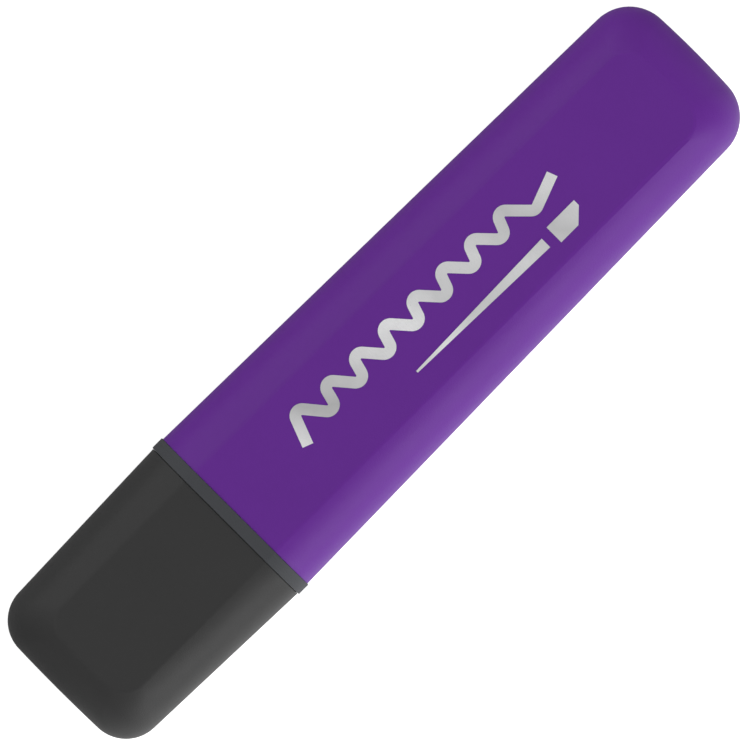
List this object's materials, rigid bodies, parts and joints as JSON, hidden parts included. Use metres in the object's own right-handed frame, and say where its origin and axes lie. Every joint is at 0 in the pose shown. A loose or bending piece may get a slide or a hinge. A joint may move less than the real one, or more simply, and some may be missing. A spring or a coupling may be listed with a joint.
{
  "type": "highlighter pen",
  "caption": "Flat highlighter with a closed barrel, a raised collar, a pull-off cap with an inner cap, and a chisel felt nib fed by a fibre ink reservoir.",
  "frame": {"origin": "centre of the bounding box, at the bottom, on the surface that the highlighter lies on with its printed front face up", "axes": "+X along the pen towards the writing tip and the cap, +Y across its width, +Z out of the printed front face"},
  "size_m": [0.112, 0.0258, 0.0154],
  "materials": {
    "barrel_plastic": "violet moulded polypropylene, satin gloss",
    "section_plastic": "dark grey moulded polypropylene, satin",
    "nib_felt": "sintered fibre felt soaked with violet ink",
    "reservoir_fibre": "bonded polyester fibre soaked with violet ink",
    "reservoir_film": "thin milky polypropylene film",
    "cap_plastic": "charcoal moulded polypropylene, satin gloss",
    "inner_cap_plastic": "milky low-density polyethylene",
    "print_foil": "hot-stamped silver foil"
  },
  "bodies": {
    "pen": {"barrel": "barrel_plastic", "front_section": "section_plastic", "nib": "nib_felt", "reservoir_core": "reservoir_fibre", "reservoir_film": "reservoir_film", "foil_print": "print_foil"},
    "cap": {"cap": "cap_plastic", "inner_cap": "inner_cap_plastic"}
  },
  "joints": [
    {"name": "cap_pull", "type": "slide", "parent": "pen", "child": "cap", "axis": [1, 0, 0], "range_m": [0, 0.04]}
  ]
}
